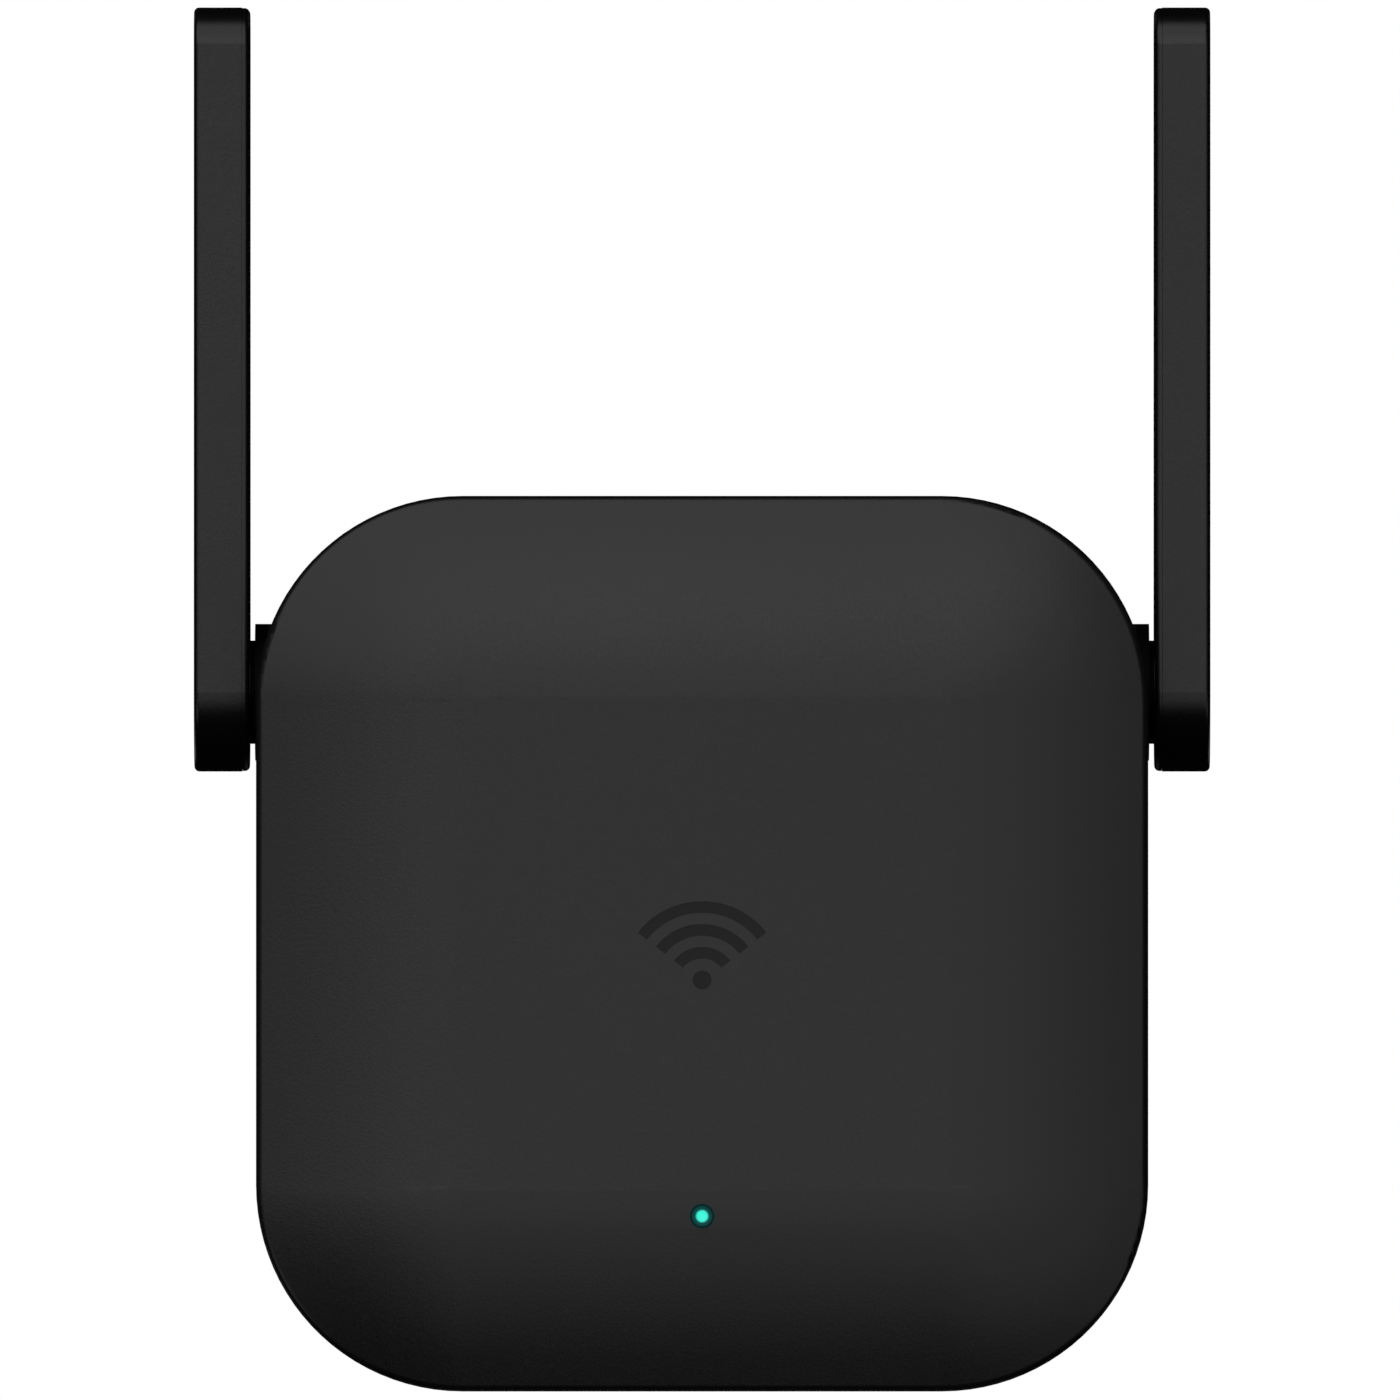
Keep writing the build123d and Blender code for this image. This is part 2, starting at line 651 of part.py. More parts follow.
with BuildPart() as buck_inductor:
    with BuildSketch(depth(WIFI_Y - 0.05)):
        with Locations((17, -12)):
            RectangleRounded(5, 5, 0.8)
    extrude(amount=2.6)
    fillet(front_edges(buck_inductor), 0.3)
save("buck_inductor", buck_inductor.part)

# (X, Z) of each ceramic capacitor
CERAMIC_SPOTS = [
    (17, 5), (17, 2.5), (20.5, 11), (-16, 12), (-16, 9.5), (-16, 2), (-16, -1), (-16, -4),
    (12, -17.5), (14.5, -17.5), (21.5, -10), (21.5, -13), (-10, -19), (-7, -19), (5, -19),
]
with BuildPart() as ceramic_capacitors:
    with BuildSketch(depth(WIFI_Y - 0.02)):
        with Locations(*CERAMIC_SPOTS):
            Rectangle(1.6, 0.8)
    extrude(amount=0.8)
save("ceramic_capacitors", ceramic_capacitors.part)

with BuildPart() as rf_solder_joints:
    with BuildSketch(depth(WIFI_BACK_Y + 0.02)):
        with Locations((-RF_JOINT_X, RF_JOINT_Z), (RF_JOINT_X, RF_JOINT_Z)):
            RectangleRounded(2.6, 2.4, 0.6)
    extrude(amount=-1.0, taper=20)
save("rf_solder_joints", rf_solder_joints.part)

with BuildPart() as insulation_sheet:
    with BuildSketch(depth(-35.1)):
        with Locations((0, -5.5)):
            RectangleRounded(56, 39, 2)
    extrude(amount=0.3)
save("insulation_sheet", insulation_sheet.part)

wifi_screws = build_screws(WIFI_SCREWS, seat_y=WIFI_BACK_Y + 0.02, way=-1, shank=5.0)
save("wifi_board_screws", wifi_screws)
power_screws = build_screws(POWER_SCREWS, seat_y=POWER_Y - 0.02, way=1, shank=4.6)
save("power_board_screws", power_screws)


# ---------------------------------------------------------------- power board
def can_leads(x, z):
    """Places of the two leads of the can at (x, z)."""
    return [(x - CAN_LEAD_X, z), (x + CAN_LEAD_X, z)]


with BuildPart() as power_board:
    with BuildSketch(depth(POWER_Y)):
        with Locations((0, (POWER_TOP + POWER_BOTTOM) / 2)):
            RectangleRounded(POWER_W, POWER_TOP - POWER_BOTTOM, 2.0)
        with Locations(*POWER_SCREWS):
            Circle(SCREW_CLEAR_R, mode=Mode.SUBTRACT)
        # holes for the tails of the mains pins
        with Locations((TAIL_X, 0), (-TAIL_X, 0)):
            Circle(1.15, mode=Mode.SUBTRACT)
        # holes for the leads of the resistor, the cans and the disc
        with Locations(
            (FUSE_X - FUSE_LEAD_X, FUSE_Z), (FUSE_X + FUSE_LEAD_X, FUSE_Z),
            *can_leads(*INPUT_CANS[0]), *can_leads(*INPUT_CANS[1]), *can_leads(*OUTPUT_CAN),
            *DISC_LEADS,
        ):
            Circle(LEAD_HOLE_R, mode=Mode.SUBTRACT)
        with Locations(LINK_SPOT):
            with GridLocations(*LINK_GRID):
                Circle(LINK_HOLE_R, mode=Mode.SUBTRACT)
    extrude(amount=-POWER_T)
save("power_board", power_board.part)

LEG_H = 4.8  # height of the transformer core, Z

with BuildPart() as transformer_bobbin:
    # flange on the board, tube, front flange
    with BuildSketch(depth(POWER_Y - 0.05)):
        with Locations(TRANSFORMER_SPOT):
            Rectangle(13.0, 15.0)
    extrude(amount=1.5)
    with BuildSketch(depth(POWER_Y - 1.5)):
        with Locations(TRANSFORMER_SPOT):
            Rectangle(8.6, 8.6)
            Rectangle(4.6, 5.0, mode=Mode.SUBTRACT)
    extrude(amount=8.1)
    with BuildSketch(depth(POWER_Y - 9.6)):
        with Locations(TRANSFORMER_SPOT):
            Rectangle(12.6, 13.4)
            Rectangle(4.6, 5.0, mode=Mode.SUBTRACT)
    extrude(amount=0.8)
save("transformer_bobbin", transformer_bobbin.part)

with BuildPart() as transformer_winding:
    with BuildSketch(depth(POWER_Y - 1.65)):
        with Locations(TRANSFORMER_SPOT):
            RectangleRounded(12.2, 12.6, 2.2)
            Rectangle(8.7, 8.7, mode=Mode.SUBTRACT)
    extrude(amount=7.85)
save("transformer_winding", transformer_winding.part)

with BuildPart() as transformer_core:
    # two outer legs, the front bar across them, and the middle leg
    with BuildSketch(depth(POWER_Y - 1.6)):
        with Locations(TRANSFORMER_SPOT):
            Rectangle(16.6, LEG_H)
            Rectangle(13.1, LEG_H + 0.1, mode=Mode.SUBTRACT)
    extrude(amount=9.0)
    with BuildSketch(depth(POWER_Y - 10.5)):
        with Locations(TRANSFORMER_SPOT):
            Rectangle(16.6, LEG_H)
    extrude(amount=1.5)
    with BuildSketch(depth(POWER_Y - 1.8)):
        with Locations(TRANSFORMER_SPOT):
            Rectangle(4.4, LEG_H)
    extrude(amount=9.0)
    chamfer(front_edges(transformer_core), 0.3)
save("transformer_core", transformer_core.part)


def build_cans(spots, height):
    """Electrolytic cans with a rolled groove, a bevelled recessed top and two leads each."""
    # (radius, distance in front of the can's base)
    section = [
        (0, 0), (CAN_R - 0.4, 0), (CAN_R, 0.4), (CAN_R, 1.2), (CAN_R - 0.35, 1.6), (CAN_R, 2.0),
        (CAN_R, height - 0.5), (CAN_R - 0.5, height), (CAN_R - 1.1, height),
        (CAN_R - 1.1, height - 0.2), (0, height - 0.2),
    ]
    base_y = POWER_Y - 0.3
    with BuildPart() as cans:
        for x, z in spots:
            with BuildSketch(Plane.XY.offset(z)):
                polygon([(radius, base_y - rise) for radius, rise in section], shift=x)
            revolve(axis=y_axis(x, z))
            with BuildSketch(depth(POWER_BACK_Y + 0.4)):
                with Locations(*can_leads(x, z)):
                    Circle(LEAD_R)
            extrude(amount=2.4)
    return cans.part


save("input_capacitors", build_cans(INPUT_CANS, height=11.6))
save("output_capacitor", build_cans([OUTPUT_CAN], height=11.2))

# Half sections of the choke: (radius, depth Y)
CHOKE_CORE = [
    (0, -23.2), (3.2, -23.2), (3.2, -24.2), (1.7, -24.2),
    (1.7, -28.8), (3.2, -28.8), (3.2, -29.8), (0, -29.8),
]
CHOKE_COIL = [(1.75, -24.25), (2.95, -24.25), (2.95, -28.75), (1.75, -28.75)]

with BuildPart() as filter_choke:
    with BuildSketch(Plane.XY.offset(CHOKE_Z)):
        polygon(CHOKE_CORE, shift=CHOKE_X)
    revolve(axis=y_axis(CHOKE_X, CHOKE_Z))
save("filter_choke", filter_choke.part)

with BuildPart() as choke_winding:
    with BuildSketch(Plane.XY.offset(CHOKE_Z)):
        polygon(CHOKE_COIL, shift=CHOKE_X)
    revolve(axis=y_axis(CHOKE_X, CHOKE_Z))
save("choke_winding", choke_winding.part)

# Half section of the resistor body: (distance from its centre along X, radius)
FUSE_BODY = [
    (-3.7, 0), (-3.7, 1.0), (-3.4, 1.4), (-2.4, 1.4), (-2.0, 1.1),
    (2.0, 1.1), (2.4, 1.4), (3.4, 1.4), (3.7, 1.0), (3.7, 0),
]
with BuildPart() as fuse_resistor:
    with BuildSketch(depth(FUSE_Y)):
        polygon([(x, FUSE_Z + radius) for x, radius in FUSE_BODY], shift=FUSE_X)
    revolve(axis=Axis((0, FUSE_Y, FUSE_Z), (1, 0, 0)))
    # bent leads into the board
    for sign in (-1, 1):
        root = (FUSE_X + sign * 3.6, FUSE_Y, FUSE_Z)
        bend_x = FUSE_X + sign * FUSE_LEAD_X
        with BuildLine():
            wire = Polyline(root, (bend_x, FUSE_Y, FUSE_Z), (bend_x, -20.6, FUSE_Z))
        with BuildSketch(Plane(origin=root, z_dir=(sign, 0, 0))):
            Circle(0.32)
        sweep(path=wire, transition=Transition.RIGHT)
save("fuse_resistor", fuse_resistor.part)

bridge_rectifier = build_package(
    POWER_Y, (0, 7.6), body=(8.2, 6.4), lift=0.15, height=2.6, bevel=0.35,
    lead=(1.2, 9.6), lead_grid=(5.08, 1, 2, 1), lead_t=0.3,
)
save("bridge_rectifier", bridge_rectifier)

save("controller_chip", build_eight_lead_chip(POWER_Y, (-12, -28)))

output_diode = build_package(
    POWER_Y, (13.5, -27.5), body=(4.6, 3.6), lift=0.15, height=2.2, bevel=0.3,
    lead=(6.4, 2.0), lead_grid=(1, 1, 1, 1), lead_t=0.3,
)
save("output_diode", output_diode)

with BuildPart() as safety_capacitor:
    with BuildSketch(side(11.6)):
        with Locations((-28.2, -5.1)):
            Circle(3.6)
    extrude(amount=2.8)
    fillet(safety_capacitor.edges().filter_by(GeomType.CIRCLE), 1.1)
    with BuildSketch(depth(POWER_BACK_Y + 0.5)):
        with Locations(*DISC_LEADS):
            Circle(LEAD_R)
    extrude(amount=6.0)
save("safety_capacitor", safety_capacitor.part)

with BuildPart() as link_header:
    # one body on the power board's front, one on the wireless board's back
    for back_y in (POWER_Y - 0.05, WIFI_BACK_Y + 0.1 + HEADER_T):
        with BuildSketch(depth(back_y)):
            with Locations(LINK_SPOT):
                Rectangle(10.2, 2.5)
                with GridLocations(*LINK_GRID):
                    Rectangle(0.7, 0.7, mode=Mode.SUBTRACT)
        extrude(amount=HEADER_T)
save("link_header", link_header.part)

with BuildPart() as link_pins:
    with BuildSketch(depth(POWER_BACK_Y + 1.0)):
        with Locations(LINK_SPOT):
            with GridLocations(*LINK_GRID):
                Rectangle(0.62, 0.62)
    extrude(amount=19.4)
save("link_pins", link_pins.part)


# ---------------------------------------------------------------- antennas, left side
def blade_outline(inset=0.0):
    """Side outline of an antenna blade: full round at the pivot, soft corners at the top."""
    radius, top = BLADE_R - inset, BLADE_TOP_Z - inset
    corner = max(BLADE_TOP_R - inset, 0.6)
    mid = corner * (1 - math.sqrt(0.5))  # inset of a corner arc's middle
    y0, y1 = HINGE_Y - radius, HINGE_Y + radius
    with BuildLine() as blade:
        ThreePointArc((y0, HINGE_Z), (HINGE_Y, HINGE_Z - radius), (y1, HINGE_Z))
        Line((y1, HINGE_Z), (y1, top - corner))
        ThreePointArc((y1, top - corner), (y1 - mid, top - mid), (y1 - corner, top))
        Line((y1 - corner, top), (y0 + corner, top))
        ThreePointArc((y0 + corner, top), (y0 + mid, top - mid), (y0, top - corner))
        Line((y0, top - corner), (y0, HINGE_Z))
    make_face(blade.edges())


ELBOW_X, ELBOW_R = -41.3, 1.5  # where the coax starts to turn up, and its bend radius
COLLAR_X = -BOSS_OUT_X - 0.03  # face of the collar against the boss
# Half section of collar, journal and clip groove: (X, radius)
JOURNAL = [
    (-41.3, 0), (-41.3, 5.6), (-40.85, 5.6), (-40.85, STUB_R),
    (COLLAR_X, STUB_R), (COLLAR_X, JOURNAL_R), (-GROOVE_OUT_X, JOURNAL_R),
    (-GROOVE_OUT_X, GROOVE_R), (-GROOVE_IN_X, GROOVE_R), (-GROOVE_IN_X, JOURNAL_R),
    (-BARREL_END_X - 0.5, JOURNAL_R), (-BARREL_END_X, JOURNAL_R - 0.5), (-BARREL_END_X, 0),
]
# Half section of the cupped washer: (X, radius)
WASHER = [(-33.62, 3.65), (-33.37, 3.65), (-33.7, 5.3), (-33.95, 5.3)]

with BuildPart() as antenna_shell:
    with BuildSketch(side(-BLADE_OUT_X)):
        blade_outline()
    extrude(amount=BLADE_OUT_X - SEAM_X)
    fillet(antenna_shell.faces().sort_by(Axis.X)[0].edges(), BLADE_EDGE_R)
    with BuildSketch(side(-SEAM_X)):
        blade_outline(BLADE_WALL)
    extrude(amount=-(BLADE_OUT_X - SEAM_X - BLADE_WALL), mode=Mode.SUBTRACT)
save_pair("antenna_shell", antenna_shell.part)

with BuildPart() as antenna_cover:
    with BuildSketch(side(-SEAM_X + COVER_GAP)):
        blade_outline(0.05)
    extrude(amount=COVER_T - COVER_GAP)
    fillet(antenna_cover.faces().sort_by(Axis.X)[-1].edges(), BLADE_EDGE_R)
    # locating rim inside the shell
    with BuildSketch(side(-SEAM_X + 0.1)):
        blade_outline(BLADE_WALL + 0.08)
    extrude(amount=-1.0)
    with BuildSketch(side(-SEAM_X + COVER_GAP)):
        blade_outline(BLADE_WALL + 0.9)
    extrude(amount=-1.2, mode=Mode.SUBTRACT)
    # collar, journal and clip groove, then the cable bore
    with BuildSketch(Plane.XY.offset(HINGE_Z)):
        polygon([(x, HINGE_Y + radius) for x, radius in JOURNAL])
    revolve(axis=HINGE_AXIS)
    with BuildSketch(side(-42)):
        with Locations(HINGE):
            Circle(1.3)
    extrude(amount=11, mode=Mode.SUBTRACT)
save_pair("antenna_cover", antenna_cover.part)

with BuildPart() as antenna_board:
    with BuildSketch(side(-44.25)):
        with Locations((HINGE_Y, 57.5)):
            RectangleRounded(8.0, 45.0, 1.0)
    extrude(amount=0.6)
save_pair("antenna_board", antenna_board.part)

with BuildPart() as antenna_dipole:
    with BuildSketch(side(-43.64)):
        # lower fork: two strips and the bar across their top
        with Locations((HINGE_Y, 47.5)):
            Rectangle(5.6, 18.0)
            Rectangle(2.6, 18.1, mode=Mode.SUBTRACT)
        with Locations((HINGE_Y, 56.0)):
            Rectangle(5.6, 1.0)
        # upper strip and its wide patch
        with Locations((HINGE_Y, 68.5)):
            Rectangle(1.4, 20.0)
        with Locations((HINGE_Y, 76.0)):
            Rectangle(5.6, 5.0)
    extrude(amount=0.08)
save_pair("antenna_dipole", antenna_dipole.part)

with BuildPart() as antenna_coax:
    elbow_start = (ELBOW_X, HINGE_Y, HINGE_Z)
    elbow_end = (ELBOW_X - ELBOW_R, HINGE_Y, HINGE_Z + ELBOW_R)
    elbow_mid = (
        ELBOW_X - ELBOW_R * math.sin(math.pi / 4),
        HINGE_Y,
        HINGE_Z + ELBOW_R * (1 - math.cos(math.pi / 4)),
    )
    with BuildLine() as coax_path:
        Line((-BARREL_END_X, HINGE_Y, HINGE_Z), elbow_start)
        ThreePointArc(elbow_start, elbow_mid, elbow_end)
        Line(elbow_end, (ELBOW_X - ELBOW_R, HINGE_Y, 55.0))
    with BuildSketch(Plane(origin=(-BARREL_END_X, HINGE_Y, HINGE_Z), z_dir=(-1, 0, 0))):
        Circle(0.68)
    sweep(path=coax_path.wires()[0])
save_pair("antenna_coax", antenna_coax.part)

with BuildPart() as hinge_washer:
    with BuildSketch(Plane.XY.offset(HINGE_Z)):
        polygon([(x, HINGE_Y + radius) for x, radius in WASHER])
    revolve(axis=HINGE_AXIS)
save_pair("hinge_washer", hinge_washer.part)

with BuildPart() as hinge_clip:
    with BuildSketch(side(-GROOVE_OUT_X + 0.05)):
        # ring with three inward lugs, open at the bottom
        with Locations(HINGE):
            Circle(4.7)
            Circle(3.6, mode=Mode.SUBTRACT)
            with PolarLocations(3.5, 3, start_angle=30, angular_range=360):
                Rectangle(0.95, 1.9)
            Circle(2.98, mode=Mode.SUBTRACT)
        with Locations((HINGE_Y, HINGE_Z - 3.9)):
            Rectangle(4.6, 3.0, mode=Mode.SUBTRACT)
    extrude(amount=0.5)
save_pair("hinge_clip", hinge_clip.part)

with BuildPart() as pigtail:
    pigtail_start = (-BARREL_END_X + 0.05, HINGE_Y, HINGE_Z)
    with BuildLine() as pigtail_path:
        Spline(
            pigtail_start,
            (-28.5, -26.5, HINGE_Z - 0.6),
            (-26.0, -33.0, 19.8),
            (-RF_JOINT_X, -36.3, 12.0),
            tangents=[(1, 0, 0), (0, 0, -1)],
        )
    with BuildSketch(Plane(origin=pigtail_start, z_dir=(1, 0, 0))):
        Circle(0.62)
    sweep(path=pigtail_path.wires()[0])
save_pair("pigtail", pigtail.part)
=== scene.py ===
"""Looks of the plug-in wireless range extender: finishes, fine surface detail, stage, light and camera.

In its frame x runs to the viewer's right, z runs up and the front faces -y.
Objects, stage and camera are in metres; the materials work in millimetres.
"""

import json
import math

import bpy
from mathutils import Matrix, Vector


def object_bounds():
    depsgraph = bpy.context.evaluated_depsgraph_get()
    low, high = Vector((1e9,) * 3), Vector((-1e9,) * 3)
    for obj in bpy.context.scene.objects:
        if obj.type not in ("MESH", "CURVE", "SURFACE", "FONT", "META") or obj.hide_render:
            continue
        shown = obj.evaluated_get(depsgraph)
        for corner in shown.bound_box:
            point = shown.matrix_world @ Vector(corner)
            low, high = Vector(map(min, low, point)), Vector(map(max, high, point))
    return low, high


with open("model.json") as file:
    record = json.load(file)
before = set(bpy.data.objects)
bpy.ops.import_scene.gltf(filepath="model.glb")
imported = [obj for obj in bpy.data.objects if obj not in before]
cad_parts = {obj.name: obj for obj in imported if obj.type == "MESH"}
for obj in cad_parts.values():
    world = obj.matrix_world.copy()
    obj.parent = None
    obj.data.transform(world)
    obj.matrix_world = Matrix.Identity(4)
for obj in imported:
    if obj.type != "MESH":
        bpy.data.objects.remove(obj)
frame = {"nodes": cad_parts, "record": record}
CAD_LOW, CAD_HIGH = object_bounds()
NODES = frame["nodes"]
SLOT_OF = {part["node"]: part["material_slot"] for part in frame["record"]["subparts"]}
SCENE = bpy.context.scene
MM_PER_M = 1000.0


# ------------------------------------------------------------------ node helpers
class Graph:
    """The emptied node tree of a material or world. A value is a number, a tuple or a socket."""

    def __init__(self, owner):
        owner.use_nodes = True
        self.tree = owner.node_tree
        self.tree.nodes.clear()

    def node(self, kind, inputs=None, **properties):
        """A new node. Its properties go first, as they decide which inputs it has."""
        made = self.tree.nodes.new("ShaderNode" + kind)
        for key, value in properties.items():
            setattr(made, key, value)
        for key, value in (inputs or {}).items():
            self.put(value, made.inputs[key])
        return made

    def put(self, value, socket):
        if isinstance(value, bpy.types.NodeSocket):
            self.tree.links.new(value, socket)
        elif isinstance(value, tuple) and len(value) == 3 and socket.type == "RGBA":
            socket.default_value = (*value, 1.0)
        else:
            socket.default_value = value

    def math(self, operation, first, second=0.0, clamp=False):
        inputs = {0: first, 1: second}
        return self.node("Math", inputs, operation=operation, use_clamp=clamp).outputs[0]

    def times(self, product, *factors):
        for factor in factors:
            product = self.math("MULTIPLY", product, factor)
        return product

    def remap(self, value, low, high, to_low=0.0, to_high=1.0, **properties):
        inputs = {"Value": value, "From Min": low, "From Max": high,
                  "To Min": to_low, "To Max": to_high}
        return self.node("MapRange", inputs, **properties).outputs["Result"]

    def step(self, value, off, on):
        """Smooth step from 0 at off to 1 at on, whichever of the two is larger."""
        ends = (off, on, 0.0, 1.0) if off < on else (on, off, 1.0, 0.0)
        return self.remap(value, *ends, interpolation_type="SMOOTHSTEP")

    def mix_shader(self, factor, first, second):
        return self.node("MixShader", {"Fac": factor, 1: first, 2: second}).outputs[0]


class Look(Graph):
    """A procedural material. Coordinates are the object's own, in millimetres."""

    def __init__(self, name):
        self.name = name
        self.material = bpy.data.materials.new(name)
        super().__init__(self.material)
        self.surface = self.node("BsdfPrincipled")
        self.node("OutputMaterial", {"Surface": self.surface.outputs[0]})
        place = self.node("TexCoord").outputs["Object"]
        scaled = self.node("VectorMath", {"Scale": MM_PER_M, 0: place}, operation="SCALE")
        self.mm = scaled.outputs[0]
        self._xyz = None

    def set(self, **values):
        """Sets surface inputs, with underscores for the spaces in their names."""
        for key, value in values.items():
            self.put(value, self.surface.inputs[key.replace("_", " ")])

    def current(self, key):
        socket = self.surface.inputs[key]
        return socket.links[0].from_socket if socket.links else socket.default_value

    def paint(self, where, rgb, rough=None, specular=None):
        """Lays a colour, and if given a roughness and specular level, over the area where is 1."""
        self.set(Base_Color=self.mix(where, self.current("Base Color"), rgb))
        if rough is not None:
            self.set(Roughness=self.blend(where, self.current("Roughness"), rough))
        if specular is not None:
            level = self.current("Specular IOR Level")
            self.set(Specular_IOR_Level=self.blend(where, level, specular))

    def xyz(self):
        if self._xyz is None:
            self._xyz = self.node("SeparateXYZ", {0: self.mm}).outputs
        return self._xyz

    def vary(self, texture, middle, by):
        """Swings a number either side of its middle with a texture."""
        return self.remap(texture, 0.3, 0.7, middle - by, middle + by)

    def stretched(self, scale):
        return self.node("VectorMath", {0: self.mm, 1: scale}, operation="MULTIPLY").outputs[0]

    def noise(self, cell, detail=2.0, rough=0.5, vector=None):
        inputs = {"Scale": 1.0 / cell, "Detail": detail, "Roughness": rough,
                  "Vector": self.mm if vector is None else vector}
        return self.node("TexNoise", inputs).outputs["Fac"]

    def pits(self, cell):
        inputs = {"Scale": 1.0 / cell, "Vector": self.mm}
        return self.node("TexVoronoi", inputs).outputs["Distance"]

    def mix(self, factor, first, second):
        """Mixes two colours."""
        return self.node("Mix", {0: factor, 6: first, 7: second}, data_type="RGBA").outputs[2]

    def blend(self, factor, first, second):
        """Mixes two numbers."""
        return self.node("Mix", {0: factor, 2: first, 3: second}, data_type="FLOAT").outputs[0]

    def mottle(self, factor, rgb, spread):
        """Varies a colour from darker to lighter by the given share."""
        return self.mix(factor, shade(rgb, 1 - spread), shade(rgb, 1 + spread))

    def set_bump(self, height, depth):
        inputs = {"Strength": 1.0, "Distance": depth / MM_PER_M, "Height": height}
        self.set(Normal=self.node("Bump", inputs).outputs["Normal"])

    def distance(self, value):
        return self.math("ABSOLUTE", value)

    def wave(self, value, rate):
        return self.math("SINE", self.times(value, rate))

    def inside(self, x=None, y=None, z=None, soft=0.05):
        """1 inside the box of (low, high) spans, 0 outside. An axis left out is unbounded."""
        edges = []
        for socket, span in zip(self.xyz(), (x, y, z)):
            if span is not None:
                low, high = span
                edges.append(self.step(socket, off=low - soft, on=low + soft))
                edges.append(self.step(socket, off=high + soft, on=high - soft))
        return self.times(*edges)

    def radius(self, x=None, y=None, z=None):
        """Distance from the line through the given point along the axis left out."""
        total = None
        for socket, centre in zip(self.xyz(), (x, y, z)):
            if centre is not None:
                offset = self.math("SUBTRACT", socket, centre)
                square = self.times(offset, offset)
                total = square if total is None else self.math("ADD", total, square)
        return self.math("SQRT", total)


def shade(rgb, gain):
    return tuple(min(1.0, channel * gain) for channel in rgb)


# ------------------------------------------------------------------ general finishes
# cell and grain are texture sizes and depth is the bump's height, all in millimetres
def moulded(name, rgb, rough, grain=0.22, depth=0.006, sheen_cell=34.0):
    """Injection-moulded plastic: spark-eroded grain, slow flow variation in tone and gloss."""
    look = Look(name)
    flow = look.noise(cell=sheen_cell, rough=0.45)
    fine = look.noise(cell=grain, rough=0.6)
    pits = look.pits(cell=grain * 1.5)
    tone = look.mottle(look.remap(flow, low=0.3, high=0.7), rgb, spread=0.10)
    speck = look.remap(fine, low=0.35, high=0.65, to_high=0.35)
    look.set(
        Base_Color=look.mix(speck, tone, shade(rgb, gain=1.35)),
        Roughness=look.math("ADD", look.vary(flow, middle=rough, by=0.015),
                            look.vary(fine, middle=0.0, by=0.03)),
    )
    look.set_bump(look.math("ADD", look.times(fine, 0.6), look.times(pits, 0.5)), depth)
    return look


def metal(name, rgb, rough, cell=0.35, stretch=(1, 1, 1), depth=0.002):
    """Bare metal with fine texture, drawn out along the axes where stretch is small."""
    look = Look(name)
    lines = look.noise(cell, detail=3.0, rough=0.6, vector=look.stretched(stretch))
    cloud = look.noise(cell=6.0)
    look.set(
        Base_Color=look.mottle(cloud, rgb, spread=0.08),
        Metallic=1.0,
        Roughness=look.math("ADD", look.vary(lines, middle=rough, by=0.06),
                            look.vary(cloud, middle=0.0, by=0.03)),
    )
    if depth is not None:
        look.set_bump(lines, depth)
    return look


def plain(name, rgb, rough, cell=0.5, depth=0.006, specular=0.5, coat=0.0):
    """Everyday finish with mottling, roughness variation and a fine surface."""
    look = Look(name)
    cloud = look.noise(cell=cell * 8, detail=3.0)
    fine = look.noise(cell, detail=3.0, rough=0.6)
    look.set(
        Base_Color=look.mottle(cloud, rgb, spread=0.12),
        Specular_IOR_Level=specular,
        Roughness=look.vary(fine, middle=rough, by=0.05),
        Coat_Weight=coat,
    )
    if depth is not None:
        look.set_bump(fine, depth)
    return look


def laminate(name, rgb, track_cell):
    """Glass-epoxy board: solder mask over faint tracks, weave under the mask."""
    look = Look(name)
    x, y, z = look.xyz()
    # the tracks shear with depth, so that the board's edges are marked too
    across = look.math("ADD", x, look.times(y, 0.4))
    flat = look.node("CombineXYZ", {0: across, 1: z}).outputs[0]
    inputs = {"Scale": 1.0 / track_cell, "Mortar Size": 0.06, "Vector": flat}
    tracks = look.node("TexBrick", inputs).outputs["Fac"]
    patches = look.step(look.noise(cell=9.0, detail=1.0, rough=0.4), off=0.46, on=0.52)
    lines = look.times(tracks, patches)
    weave = look.times(look.wave(x, rate=9.0), look.wave(z, rate=9.0))
    mask = look.mix(look.remap(weave, low=-1, high=1),
                    shade(rgb, gain=0.85), shade(rgb, gain=1.1))
    look.set(
        Base_Color=look.mix(lines, mask, shade(rgb, gain=2.2)),
        Roughness=look.vary(look.noise(cell=0.8), middle=0.33, by=0.05),
        Coat_Weight=0.3,
        Coat_Roughness=0.15,
    )
    look.set_bump(lines, depth=0.02)
    return look


# ------------------------------------------------------------------ finishes of single pieces
HINGE = {"y": -24.0, "z": 22.55}  # axis the antennas turn on
LIGHT = {"x": 0.0, "z": -24.4}  # axis of the light pipe
# painted shade for the hinge bosses and collars, which lie in deep shade between blade and body: near
# black, matt, low specular
HINGE_PAINTED_SHADE = {"rgb": (0.002, 0.002, 0.0021), "rough": 0.62, "specular": 0.07}
GLOW_MATERIAL = (0.05, 0.95, 0.72)  # light given off by the diode


